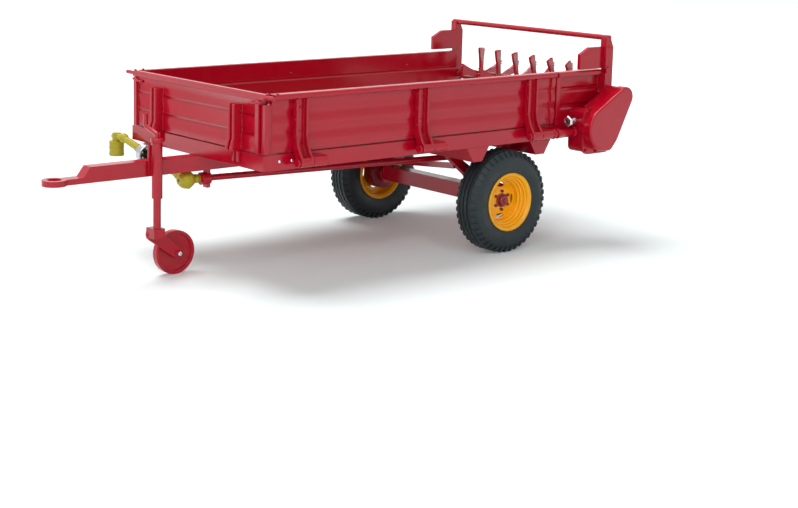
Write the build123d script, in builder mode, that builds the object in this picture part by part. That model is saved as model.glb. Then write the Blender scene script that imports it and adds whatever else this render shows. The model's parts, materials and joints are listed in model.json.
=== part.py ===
from build123d import *
import os
from math import cos, radians, sin

os.makedirs("parts", exist_ok=True)

# A 1:32 scale model of a two-wheeled manure spreader, standing on its jockey wheel.
# Millimetres. +X is forward, +Y the machine's left, z = 0 the ground.
# Distances "back" are counted rearwards from the outer face of the front board.

# ---- driving dimensions ----
tyre_r = 13.0
tyre_w = 7.6
axle_back = 75.9
rim_r = 7.4
rim_seat_r = 6.7

frame_half = 27.6
frame_z = 27.7
frame_h = 3.6
frame_sheet = 0.8
flange_w = 4.0
ledge_drop = 0.6

board_t = 1.0
board_z = 31.6
board_h = 13.2
rail_h = 1.3
rail_out = 1.2
groove_pitch = 4.3
groove_half = 0.8
front_groove_half = 0.35
groove_depth = 0.3
seam_half = 0.15
seam_depth = 0.2
board_front_back = 2.3
left_board_end = 91.3
right_board_end = 107.5
panel_gap = 0.5

post_back = 107.9
post_x = 2.7
post_y = 2.0
post_foot_z = 25.2
post_top_z = 53.2
top_bar_r = 0.7

rotor_z = 38.2
rotor_r = 8.5
rotor_drum_r = 1.5
drum_half = 26.0
journal_r = 0.9
bore_gap = 0.05
paddle_pitch = 7.2
paddles_in_row = 6
rotor_rows = 5
row_start = 12.25
paddle_twist = 4.5
blade_pitch = 24.0

eye_ahead = 36.4
eye_r = 2.8
eye_hole_r = 1.6
eye_t = 1.3
beam_half = 1.6
beam_h = 3.6

hinge_z = 29.5
hinge_r = 1.15
hinge_pin_r = 0.6
stake_w = 3.4
stake_out = 1.5
left_stakes_back = (9.7, 45.7, 82.4)
right_stakes_back = (6.9, 47.6, 88.3)

jack_ahead = 11.9
jack_y = 3.0
jack_z = 32.6
jack_r = 1.25
leg_r = 0.9
jockey_r = 5.2
jockey_ahead = 5.2

# ---- places worked out from them ----
rotor_back = post_back + post_x / 2
overall_front = eye_ahead + eye_r
overall_rear = rotor_back + rotor_r
front_x = (overall_rear - overall_front) / 2
frame_top = frame_z + frame_h
board_half = frame_half - 0.2
wheel_y = frame_half - 2.5
hinge_y = frame_half + 2.4
ledge_z = frame_top - ledge_drop
board_top = board_z + board_h
rail_z = board_top - rail_h
board_in = board_half - board_t
rail_y = board_half + rail_out
beam_z = frame_z - beam_h
post_out = frame_half + post_y
post_rear = post_back + post_x


def x_at(back):
    """X of a place this far behind the front board's outer face."""
    return front_x - back


def slab(x0, x1, y0, y1, z0, z1, mode=Mode.ADD):
    """A rectangular bar between two corners, added to the part being built."""
    with BuildSketch(Plane.XY.offset(z0)) as face:
        with Locations(((x0 + x1) / 2, (y0 + y1) / 2)):
            Rectangle(abs(x1 - x0), abs(y1 - y0))
    extrude(face.sketch, amount=z1 - z0, mode=mode)


def rod_x(x0, x1, y, z, r, mode=Mode.ADD):
    """A round bar along X."""
    with BuildSketch(Plane.YZ.offset(x0)) as face:
        with Locations((y, z)):
            Circle(r)
    extrude(face.sketch, amount=x1 - x0, mode=mode)


def rod_y(y0, y1, x, z, r, mode=Mode.ADD):
    """A round bar along Y."""
    with BuildSketch(Plane.XZ.offset(-y0)) as face:
        with Locations((x, z)):
            Circle(r)
    extrude(face.sketch, amount=-(y1 - y0), mode=mode)


def rod_z(z0, z1, x, y, r, mode=Mode.ADD):
    """A round bar along Z."""
    with BuildSketch(Plane.XY.offset(z0)) as face:
        with Locations((x, y)):
            Circle(r)
    extrude(face.sketch, amount=z1 - z0, mode=mode)


def rod_between(start, end, r):
    """A round bar between any two points."""
    a = Vector(*start)
    b = Vector(*end)
    with BuildSketch(Plane(origin=a, z_dir=b - a)) as face:
        Circle(r)
    extrude(face.sketch, amount=(b - a).length)


def finish(part, name):
    """Labels a finished piece and writes its file."""
    part.label = name
    export_step(part, f"parts/{name}.step")


board_middle_z = board_z + board_h / 2 - 0.3
groove_z = (board_middle_z - groove_pitch / 2, board_middle_z + groove_pitch / 2)


def plank_outline(outer, inner, rail, base):
    """Section of a side board's three planks: wide rolled grooves outside, narrow seams inside.

    The first coordinate runs through the board, from inner face to outer face."""
    out = 1 if outer > inner else -1
    pts = [(inner, base), (outer, base)]
    for z in groove_z:
        pts += [
            (outer, z - groove_half),
            (outer - out * groove_depth, z - groove_half / 2),
            (outer - out * groove_depth, z + groove_half / 2),
            (outer, z + groove_half),
        ]
    pts += [(outer, rail_z), (rail, rail_z)]
    pts += [(rail, board_top - 0.4), (rail - out * 0.4, board_top), (inner, board_top)]
    for z in reversed(groove_z):
        pts += [
            (inner, z + seam_half),
            (inner + out * seam_depth, z),
            (inner, z - seam_half),
        ]
    return pts


# ---- chassis frame: channels along the sides and across the front, bars between ----
frame_levels = (  # z from, z to, how far in from the outside
    (frame_z, frame_top, frame_sheet),
    (frame_z, frame_z + frame_sheet, flange_w),
    (ledge_z - frame_sheet, ledge_z, flange_w),
)
frame_hole_r = 0.3
with BuildPart() as side_frames:
    for z0, z1, width in frame_levels:
        for sign in (1, -1):
            slab(x_at(post_rear), x_at(frame_sheet), sign * frame_half, sign * (frame_half - width), z0, z1)
    for back in (4.4, 7.8):
        rod_y(-frame_half - 1, frame_half + 1, x_at(back), frame_z + 2.0, frame_hole_r, mode=Mode.SUBTRACT)
finish(side_frames.part, "side_frames")

rung_half = frame_half - flange_w
rung_w = 2.4
with BuildPart() as cross_members:
    for z0, z1, width in frame_levels:
        half = frame_half if width == frame_sheet else rung_half
        slab(x_at(width), x_at(0), -half, half, z0, z1)
    for part_way in (0.20, 0.41, 0.55, 0.70, 0.88):
        back = post_back * part_way
        slab(x_at(back + rung_w / 2), x_at(back - rung_w / 2), -rung_half, rung_half, frame_z, ledge_z)
finish(cross_members.part, "cross_members")

# ---- floor ----
deck_front = 6.5
deck_rear = 101.4
deck_half = board_in
deck_top = frame_top + 0.1
with BuildPart() as floor_deck:
    slab(x_at(deck_rear), x_at(deck_front), -deck_half, deck_half, ledge_z, deck_top)
finish(floor_deck.part, "floor_deck")

slat_pitch = 11.6
slat_w = 2.0
slat_h = 0.6
strip_in = board_in - 3.6
strip_out = board_in - 1.2
strip_top = deck_top + slat_h + 0.1
slat_backs = [deck_front + 3.0 + slat_pitch * i for i in range(8)]
with BuildPart() as conveyor_slats:
    for sign in (1, -1):
        slab(x_at(deck_rear), x_at(deck_front), sign * strip_in, sign * strip_out, deck_top, strip_top)
    for back in slat_backs:
        slab(x_at(back + slat_w), x_at(back), -strip_in, strip_in, deck_top, deck_top + slat_h)
finish(conveyor_slats.part, "conveyor_slats")

shaft_r = 0.6
shaft_z = (frame_z + frame_sheet + ledge_z - frame_sheet) / 2
with BuildPart() as conveyor_shafts:
    for back in (deck_front - 1.3, deck_rear + 1.2):
        rod_y(-frame_half + frame_sheet, frame_half - frame_sheet, x_at(back), shaft_z, shaft_r)
finish(conveyor_shafts.part, "conveyor_shafts")

# ---- front wall ----
front_stake_y = 16.2
front_stake_w = 5.2
front_stake_foot = frame_z + 0.9
front_stake_top = board_top - 3.2
front_half = board_in - 0.2
front_base = frame_top + 0.3
with BuildPart() as front_board:
    slab(x_at(board_t), x_at(0), -front_half, front_half, front_base, rail_z)
    for z in groove_z:
        for x0, x1, half in (
            (x_at(groove_depth), x_at(-1), front_groove_half),
            (x_at(board_t + 1), x_at(board_t - seam_depth), seam_half),
        ):
            slab(x0, x1, -front_half, front_half, z - half, z + half, mode=Mode.SUBTRACT)
    for sign in (1, -1):
        y0 = sign * (front_half - 1.3)
        slab(x_at(2.0), x_at(-0.5), y0, sign * front_half, front_base, rail_z)
    for sign in (1, -1):
        stake_in = sign * front_stake_y - front_stake_w / 2
        stake_out_y = sign * front_stake_y + front_stake_w / 2
        slab(x_at(0), x_at(-0.5), stake_in, stake_out_y, front_stake_foot, front_stake_top)
        for edge, inward in ((stake_in, 0.7), (stake_out_y, -0.7)):
            slab(x_at(0), x_at(-1.5), edge, edge + inward, front_stake_foot, front_stake_top)
finish(front_board.part, "front_board")

# the top rail reaches over the side boards' corners and ends in round pins
pin_reach = rail_out + 2.0
with BuildPart() as front_rail:
    slab(x_at(1.9), x_at(0), -board_half, board_half, rail_z, board_top - 0.4)
    slab(x_at(1.5), x_at(0.4), -board_half, board_half, board_top - 0.4, board_top)
    rod_y(-board_half - pin_reach, board_half + pin_reach, x_at(0.5), board_top - 0.6, 0.5)
finish(front_rail.part, "front_rail")

apron_half = front_half - 1.4
apron_top = board_top - 4.9
apron_foot = deck_top + 1.6
tab_y = 15.0
tab_half = 0.8
with BuildPart() as front_apron:
    with BuildSketch(Plane.XZ.offset(apron_half)):
        with BuildLine():
            Polyline(
                (x_at(board_t), apron_top - 0.7),
                (x_at(5.5), apron_foot),
                (x_at(6.0), apron_foot + 0.35),
                (x_at(3.9), apron_foot + 3.3),
                (x_at(3.7), apron_foot + 3.3),
                (x_at(3.5), apron_foot + 3.85),
                (x_at(1.6), apron_top),
                (x_at(board_t), apron_top),
                close=True,
            )
        make_face()
    extrude(amount=-2 * apron_half)
    for sign in (1, -1):
        y0 = sign * tab_y - tab_half
        y1 = sign * tab_y + tab_half
        slab(x_at(1.6), x_at(board_t), y0, y1, apron_top - 0.4, apron_top + 2.1)
        slab(x_at(2.6), x_at(board_t), y0, y1, apron_top - 0.9, apron_top - 0.1)
finish(front_apron.part, "front_apron")

# ---- rear hoop: posts on the frame's outer faces, a bar let into their tops, a bar below ----
top_bar_x = x_at(post_back + 1.05)
top_bar_z = post_top_z - 0.2
corner_x = 1.3
corner_z = 2.6
notch_z = (post_top_z - 9.4, post_top_z - 8.0)
notch_depth = 0.5
with BuildPart() as rear_posts:
    for sign in (1, -1):
        y0 = sign * frame_half
        y1 = sign * post_out
        with BuildSketch(Plane.XZ.offset(-y0)):
            with BuildLine():
                Polyline(
                    (x_at(post_back), post_foot_z),
                    (x_at(post_rear), post_foot_z),
                    (x_at(post_rear), post_top_z - corner_z),
                    (x_at(post_rear - corner_x), post_top_z),
                    (x_at(post_back), post_top_z),
                    (x_at(post_back), notch_z[1]),
                    (x_at(post_back + notch_depth), notch_z[1]),
                    (x_at(post_back + notch_depth), notch_z[0]),
                    (x_at(post_back), notch_z[0]),
                    close=True,
                )
            make_face()
        extrude(amount=-sign * post_y)
        rod_y(y0, y1, x_at(rotor_back), rotor_z, journal_r + bore_gap, mode=Mode.SUBTRACT)
        rod_y(y0, y1, top_bar_x, top_bar_z, top_bar_r, mode=Mode.SUBTRACT)
        rod_y(y1, y1 + sign * 0.5, x_at(rotor_back), post_foot_z + 1.6, 0.8)
finish(rear_posts.part, "rear_posts")

with BuildPart() as rear_bars:
    rod_y(-post_out, post_out, top_bar_x, top_bar_z, top_bar_r)
    slab(x_at(post_rear - 0.4), x_at(post_back + 0.4), -rung_half, rung_half, frame_z - 0.3, frame_z + 1.1)
finish(rear_bars.part, "rear_bars")

guard_t = 1.0
guard_top = post_top_z - 2.5
guard_w = 8.6
guard_slope_w = 3.4
guard_slope_h = 1.7
with BuildPart() as guard_plates:
    for sign, foot in ((1, board_top + 0.3), (-1, board_top + 0.6)):
        with BuildSketch(Plane.XZ.offset(-sign * frame_half)):
            with BuildLine():
                Polyline(
                    (x_at(post_back), foot),
                    (x_at(post_back), guard_top),
                    (x_at(post_back - guard_w + guard_slope_w), guard_top),
                    (x_at(post_back - guard_w), guard_top - guard_slope_h),
                    (x_at(post_back - guard_w), foot),
                    close=True,
                )
            make_face()
        extrude(amount=-sign * guard_t)
finish(guard_plates.part, "guard_plates")

with BuildPart() as left_rear_panel:
    with BuildSketch(Plane.YZ.offset(x_at(post_back))):
        with BuildLine():
            Polyline(*plank_outline(board_half, board_in, rail_y, frame_top), close=True)
        make_face()
    extrude(amount=post_back - left_board_end - panel_gap)
    lip_x0 = x_at(left_board_end + panel_gap + 1.4)
    lip_x1 = x_at(left_board_end + panel_gap)
    slab(lip_x0, lip_x1, board_half - 0.5, board_half + 0.5, frame_top, rail_z)
finish(left_rear_panel.part, "left_rear_panel")

# ---- side boards and their hinges ----
# Each stake is a channel. Its foot bends outwards to a boss that turns on the bracket's pin.
knuckle_len = 4.0
wall_t = 0.6
web_t = 0.5
side_gap = 0.2
bend_z = board_z + 1.4
stake_foot = (  # out from the board's face, z: the foot's outline inside the channel's walls
    (0.0, bend_z),
    (hinge_y - hinge_r - board_half, hinge_z),
    (hinge_y + hinge_r - board_half, hinge_z),
    (hinge_y + hinge_r - board_half, hinge_z + 0.6),
    (stake_out + 1.1, bend_z - 1.2),
    (stake_out + 0.3, bend_z + 0.6),
    (stake_out, bend_z + 2.4),
    (0.0, bend_z + 2.4),
)
web_foot = (
    (0.0, bend_z),
    (hinge_y - hinge_r - board_half, hinge_z),
    (hinge_y - hinge_r - board_half + web_t, hinge_z),
    (web_t, bend_z),
    (web_t, bend_z + 1.0),
    (0.0, bend_z + 1.0),
)


# Each side board's front corner stands beside the front board, under its rail.
# The right one stops behind the stored drive shaft's bell, which it passes when the board is down.
end_strip = 1.4
left_corner_back = 0.1
right_corner_back = 0.6
corner_top = board_top - 2.2


def foot_slice(sign, outline, x0, x1):
    """One slice of a stake's foot between two places along X."""
    with BuildSketch(Plane.YZ.offset(x0)) as face:
        with BuildLine():
            Polyline(*[(sign * (board_half + out), z) for out, z in outline], close=True)
        make_face()
    extrude(face.sketch, amount=x1 - x0)


for side, sign, stakes, corner_back, end_back in (
    ("left", 1, left_stakes_back, left_corner_back, left_board_end),
    ("right", -1, right_stakes_back, right_corner_back, right_board_end),
):
    outer = sign * board_half
    strip_y = outer + sign * 0.5
    pin_y = sign * hinge_y
    with BuildPart() as board:
        with BuildSketch(Plane.YZ.offset(x_at(end_back))):
            with BuildLine():
                Polyline(*plank_outline(outer, sign * board_in, sign * rail_y, board_z), close=True)
            make_face()
        extrude(amount=end_back - board_front_back)
        slab(x_at(end_back), x_at(end_back - end_strip), outer - sign * 0.5, strip_y, board_z, rail_z)
    finish(board.part, f"{side}_board")

    with BuildPart() as board_stakes:
        slab(x_at(board_front_back), x_at(corner_back), sign * board_in, outer, board_z, corner_top)
        slab(x_at(corner_back + end_strip), x_at(corner_back), outer, strip_y, board_z, corner_top)
        for back in stakes:
            rear = x_at(back + stake_w / 2)
            front = x_at(back - stake_w / 2)
            slab(rear, front, outer, outer + sign * web_t, bend_z, rail_z)
            foot_slice(sign, web_foot, rear, front)
            for x0, x1 in ((rear, rear + wall_t), (front - wall_t, front)):
                slab(x0, x1, outer, outer + sign * stake_out, bend_z + 2.0, rail_z)
                foot_slice(sign, stake_foot, x0, x1)
            rod_x(rear, front, pin_y, hinge_z, hinge_r)
            rod_x(rear, front, pin_y, hinge_z, hinge_pin_r + bore_gap, mode=Mode.SUBTRACT)
    finish(board_stakes.part, f"{side}_board_stakes")

    with BuildPart() as hinge_brackets:
        for back in stakes:
            near = x_at(back + stake_w / 2 + side_gap)
            far = near - knuckle_len
            pin_front = near + stake_w + 2 * side_gap
            slab(far, near, sign * frame_half, pin_y, hinge_z - hinge_r, hinge_z + hinge_r)
            rod_x(far, near, pin_y, hinge_z, hinge_r)
            rod_x(near, pin_front, pin_y, hinge_z, hinge_pin_r)
            rod_x(pin_front, pin_front + 0.5, pin_y, hinge_z, 0.95)
    finish(hinge_brackets.part, f"{side}_hinge_brackets")

# ---- gear case and chain cover at the rear left ----
case_back = 102.2
case_z = 30.4
case_r = 5.7
case_front = 97.0
case_rear = 106.5
case_bottom = 24.2
case_top = 35.5
case_corner = 1.6
case_flange_y = frame_half + 4.9
case_flange_t = 0.6
cover_y = case_flange_y + 3.2
drive_lobes = (  # back, z, radius: gearbox, lower rear corner, rotor shaft
    (case_back, case_z, case_r),
    (case_back + 1.7, case_z - 4.2, 1.6),
    (rotor_back + 0.4, rotor_z - 0.1, 2.7),
)


def drive_outline(grow):
    """The teardrop round the gears and the rotor shaft, as a hull of circles."""
    with BuildSketch(Plane.XY) as lobes:
        for back, z, r in drive_lobes:
            with Locations((x_at(back), z)):
                Circle(r + grow)
        make_hull()
    add(lobes.sketch)


def box_outline(grow):
    """The rounded box of the gears, in the caller's sketch."""
    with Locations((x_at((case_front + case_rear) / 2), (case_bottom + case_top) / 2)):
        RectangleRounded(
            case_rear - case_front + 2 * grow, case_top - case_bottom + 2 * grow, case_corner + grow
        )


def gear_body(mode=Mode.ADD):
    """The gear case behind its flange: the box of the gears and, outside the post, the teardrop."""
    with BuildSketch(Plane.XZ.offset(-frame_half)) as box:
        box_outline(0)
    extrude(box.sketch, amount=-(case_flange_y - frame_half), mode=mode)
    with BuildSketch(Plane.XZ.offset(-post_out)) as teardrop:
        drive_outline(-0.2)
    extrude(teardrop.sketch, amount=-(case_flange_y - post_out), mode=mode)


with BuildPart() as gear_case:
    gear_body()
    with BuildSketch(Plane.XZ.offset(-case_flange_y)):
        box_outline(0.4)
        drive_outline(-0.2)
    extrude(amount=-case_flange_t)
    journal_end = case_flange_y + case_flange_t / 2
    rod_y(post_out, journal_end, x_at(rotor_back), rotor_z, journal_r + bore_gap, mode=Mode.SUBTRACT)
finish(gear_case.part, "gear_case")

with BuildPart() as chain_cover:
    with BuildSketch(Plane.XZ.offset(-(case_flange_y + case_flange_t))):
        drive_outline(0)
    extrude(amount=-(cover_y - case_flange_y - case_flange_t))
    fillet(chain_cover.faces().sort_by(Axis.Y)[-1].edges(), 0.5)
finish(chain_cover.part, "chain_cover")

last_knuckle = left_stakes_back[-1] + stake_w / 2 + side_gap + knuckle_len
with BuildPart() as hinge_tube:
    rod_x(x_at(case_back), x_at(last_knuckle), hinge_y, hinge_z, 1.0)
    gear_body(Mode.SUBTRACT)
finish(hinge_tube.part, "hinge_tube")

# ---- drive line under the bed ----
pto_z = 21.8
bearing_back = 4.5
bearing_y = -0.4
shaft_end_back = 85.3
shaft_end_y = 15.1
shaft_end_z = 22.9
pto_shaft_r = 0.75
hanger_half = 1.8
with BuildPart() as shaft_hanger:
    y0 = shaft_end_y - hanger_half
    y1 = shaft_end_y + hanger_half
    slab(x_at(shaft_end_back + 3.0), x_at(shaft_end_back), y0, y1, shaft_end_z - 1.3, beam_z)
finish(shaft_hanger.part, "shaft_hanger")

with BuildPart() as pto_shaft:
    for back, y, z in ((bearing_back, bearing_y, pto_z), (shaft_end_back, shaft_end_y, shaft_end_z)):
        with BuildSketch(Plane.YZ.offset(x_at(back))):
            with Locations((y, z)):
                Circle(pto_shaft_r)
    loft()
finish(pto_shaft.part, "pto_shaft")

with BuildPart() as pto_bearing:
    rod_x(x_at(bearing_back), x_at(bearing_back - 2.4), bearing_y, pto_z, 1.5)
    x0 = x_at(bearing_back - 0.1)
    slab(x0, x0 + 1.0, bearing_y - 0.8, bearing_y + 0.8, pto_z - 2.2, beam_z)
finish(pto_bearing.part, "pto_bearing")

tube_r = 0.85
joint_back = -1.6
joint_y = -1.0
tube_end = (x_at(-1.5), -frame_half - 1.6, 27.9)
joint = (x_at(joint_back), joint_y, pto_z)
with BuildPart() as pto_guard:
    with BuildSketch(Plane.YZ.offset(x_at(bearing_back - 2.4))):
        with Locations((bearing_y, pto_z)):
            Circle(1.0)
    with BuildSketch(Plane.YZ.offset(x_at(0))):
        with Locations((joint_y, pto_z)):
            Circle(1.4)
    loft()
    with Locations(joint):
        Sphere(2.1)
    rod_between(joint, tube_end, tube_r)
finish(pto_guard.part, "pto_guard")

clutch_at = 0.63
clutch_r = 2.4
clutch_t = 2.0
tube_dir = Vector(*tube_end) - Vector(*joint)
clutch_mid = Vector(*joint) + tube_dir * clutch_at
with BuildPart() as pto_clutch:
    with BuildSketch(Plane(origin=clutch_mid, z_dir=tube_dir)):
        Circle(clutch_r)
        Circle(tube_r + 0.02, mode=Mode.SUBTRACT)
    extrude(amount=clutch_t / 2, both=True)
finish(pto_clutch.part, "pto_clutch")

bell_y = -frame_half - 5.0
bell_r = 1.85
bell_bore_r = 1.3
bell_top = 26.8
bell_h = 3.7
with BuildPart() as pto_bell:
    with Locations(tube_end):
        Sphere(1.25)
    rod_y(tube_end[1], bell_y - 1.3, tube_end[0], tube_end[2], 0.8)
    rod_z(bell_top - bell_h, bell_top, tube_end[0], bell_y, bell_r)
    rod_z(bell_top, tube_end[2] + 0.9, tube_end[0], bell_y, 1.1)
    rod_z(bell_top - bell_h, bell_top - 0.9, tube_end[0], bell_y, bell_bore_r, mode=Mode.SUBTRACT)
    with BuildSketch(Plane(origin=joint, z_dir=tube_dir)):
        Circle(tube_r + 0.02)
    extrude(amount=tube_dir.length, mode=Mode.SUBTRACT)
finish(pto_bell.part, "pto_bell")

hook_y = -20.5
hook_wire = 0.4
hook_at = (hook_y - joint_y) / (tube_end[1] - joint_y)
hook_x = joint[0] + tube_dir.X * hook_at
hook_z = joint[2] + tube_dir.Z * hook_at
hook_r = tube_r + hook_wire + bore_gap
hook_leg_x = hook_x - hook_r
with BuildPart() as pto_hook:
    with BuildLine(Plane.XZ.offset(-hook_y)) as wire:
        Line((hook_leg_x, frame_z), (hook_leg_x, hook_z))
        ThreePointArc((hook_leg_x, hook_z), (hook_x, hook_z - hook_r), (hook_x + hook_r, hook_z))
        Line((hook_x + hook_r, hook_z), (hook_x + hook_r, hook_z + 0.5))
    with BuildSketch(Plane(origin=wire.line @ 0, z_dir=wire.line % 0)):
        Circle(hook_wire)
    sweep(path=wire.line)
    slab(hook_leg_x - 0.9, x_at(0), hook_y - 0.8, hook_y + 0.8, frame_z - 0.4, frame_z)
finish(pto_hook.part, "pto_hook")

# ---- drawbar and jack ----
step_ahead = 28.2
beam_end_back = 57.8
with BuildPart() as drawbar:
    with BuildSketch(Plane.XZ.offset(beam_half)):
        with BuildLine():
            Polyline(
                (x_at(beam_end_back), beam_z),
                (x_at(-step_ahead - 2.2), beam_z),
                (x_at(-step_ahead - 2.2), beam_z + eye_t),
                (x_at(-step_ahead - 1.8), beam_z + eye_t),
                (x_at(-step_ahead), frame_z),
                (x_at(beam_end_back), frame_z),
                close=True,
            )
        make_face()
    extrude(amount=-2 * beam_half)
    slab(x_at(-step_ahead - 1.0), x_at(-eye_ahead), -beam_half, beam_half, beam_z, beam_z + eye_t)
    rod_z(beam_z, beam_z + eye_t, x_at(-eye_ahead), 0, eye_r)
    rod_z(beam_z, beam_z + eye_t, x_at(-eye_ahead), 0, eye_hole_r, mode=Mode.SUBTRACT)
finish(drawbar.part, "drawbar")

jack_x = x_at(-jack_ahead)
jack_tube_z = 19.2
jack_plate_t = 0.6
with BuildPart() as jack_tube:
    rod_z(jack_tube_z, jack_z, jack_x, jack_y, jack_r)
    slab(jack_x - 1.6, jack_x + 1.7, beam_half, beam_half + jack_plate_t, beam_z + 0.2, jack_z - 1.2)
    rod_z(jack_tube_z, jack_z - 0.6, jack_x, jack_y, leg_r + bore_gap, mode=Mode.SUBTRACT)
finish(jack_tube.part, "jack_tube")

crank_r = 0.5
crank_y = jack_y - 5.0
with BuildPart() as jack_crank:
    with BuildLine() as wire:
        FilletPolyline(
            (jack_x, jack_y, jack_z),
            (jack_x, jack_y, jack_z + 1.4),
            (jack_x, crank_y, jack_z + 2.6),
            (jack_x, crank_y, jack_z + 5.4),
            radius=0.6,
        )
    with BuildSketch(Plane(origin=wire.line @ 0, z_dir=wire.line % 0)):
        Circle(crank_r)
    sweep(path=wire.line)
finish(jack_crank.part, "jack_crank")

jockey_x = x_at(-jockey_ahead)
jockey_y = -0.4
jockey_w = 1.6
jockey_pin_r = 0.6
foot_z = 12.2
arm_y = 0.7
arm_t = 0.8
leg_top_z = 25.0
with BuildPart() as jack_leg:
    rod_z(foot_z - 2.0, leg_top_z, jack_x, jack_y, leg_r)
    slab(jack_x - 1.4, jack_x + 1.5, arm_y, jack_y + 1.2, foot_z - 2.3, foot_z)
    with BuildSketch(Plane.XZ.offset(-arm_y)):
        with Locations((jack_x, foot_z - 1.7)):
            Circle(1.7)
        with Locations((jockey_x, jockey_r)):
            Circle(1.3)
        make_hull()
    extrude(amount=-arm_t)
    rod_y(jockey_y - jockey_w / 2 - 0.8, arm_y + arm_t + 0.6, jockey_x, jockey_r, jockey_pin_r)
    rod_y(jockey_y - jockey_w / 2 - 0.8, jockey_y - jockey_w / 2 - 0.2, jockey_x, jockey_r, 1.0)
finish(jack_leg.part, "jack_leg")

with BuildPart() as jockey_wheel:
    rod_y(jockey_y - jockey_w / 2, jockey_y + jockey_w / 2, jockey_x, jockey_r, jockey_r)
    for y0 in (jockey_y - jockey_w / 2, jockey_y + jockey_w / 2 - 0.4):
        rod_y(y0, y0 + 0.4, jockey_x, jockey_r, jockey_r - 0.8, mode=Mode.SUBTRACT)
    rod_y(jockey_y - jockey_w / 2, jockey_y + jockey_w / 2, jockey_x, jockey_r, 1.3)
    rod_y(jockey_y - 2, jockey_y + 2, jockey_x, jockey_r, jockey_pin_r + bore_gap, mode=Mode.SUBTRACT)
finish(jockey_wheel.part, "jockey_wheel")

# ---- axle and what hangs it under the frame ----
hanger_reach = 10.9
cross_drop = beam_h
cross_z = frame_z - cross_drop
with BuildPart() as axle_crossbeams:
    for back in (axle_back - hanger_reach, axle_back + hanger_reach):
        with BuildSketch(Plane.XZ.offset(frame_half)):
            with BuildLine():
                Polyline(
                    (x_at(back - 3.7), frame_z),
                    (x_at(back - 1.5), cross_z),
                    (x_at(back + 1.5), cross_z),
                    (x_at(back + 3.7), frame_z),
                    close=True,
                )
            make_face()
        extrude(amount=-2 * frame_half)
finish(axle_crossbeams.part, "axle_crossbeams")

axle_z = tyre_r
axle_top = 15.5
axle_size = 3.8
axle_half = 18.6
stub_r = 1.5
stub_end = 25.2
axle_x = x_at(axle_back)
with BuildPart() as axle_beam:
    x0 = axle_x - axle_size / 2
    slab(x0, x0 + axle_size, -axle_half, axle_half, axle_top - axle_size, axle_top)
    for sign in (1, -1):
        rod_y(sign * axle_half, sign * (axle_half + 0.6), axle_x, axle_z, 2.6)
        rod_y(sign * axle_half, sign * stub_end, axle_x, axle_z, stub_r)
finish(axle_beam.part, "axle_beam")

hanger_y = 17.0
hanger_t = 1.6
leg_gap = 0.1
with BuildPart() as axle_hangers:
    for sign in (1, -1):
        for side in (1, -1):
            with BuildSketch(Plane.XZ.offset(-sign * hanger_y)):
                with BuildLine():
                    Polyline(
                        (axle_x + side * (hanger_reach + 1.5), cross_z),
                        (axle_x + side * (hanger_reach - 1.7), cross_z),
                        (axle_x + side * leg_gap, axle_top + 2.6),
                        (axle_x + side * leg_gap, axle_top),
                        (axle_x + side * axle_size / 2, axle_top),
                        close=True,
                    )
                make_face()
            extrude(amount=-sign * hanger_t)
finish(axle_hangers.part, "axle_hangers")

stay_half_t = 0.4
stay_left = (x_at(axle_back - 8.7), hanger_y, 21.4)
stay_right = (x_at(axle_back), -hanger_y, 16.9)
with BuildPart() as axle_stay:
    with BuildSketch(Plane.XZ.offset(-stay_left[1])):
        with Locations((stay_left[0], stay_left[2])):
            Rectangle(2 * stay_half_t, 1.5)
    with BuildSketch(Plane.XZ.offset(-stay_right[1])):
        with Locations((stay_right[0], stay_right[2])):
            Rectangle(2 * stay_half_t, 1.5)
    loft()
finish(axle_stay.part, "axle_stay")

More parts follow.
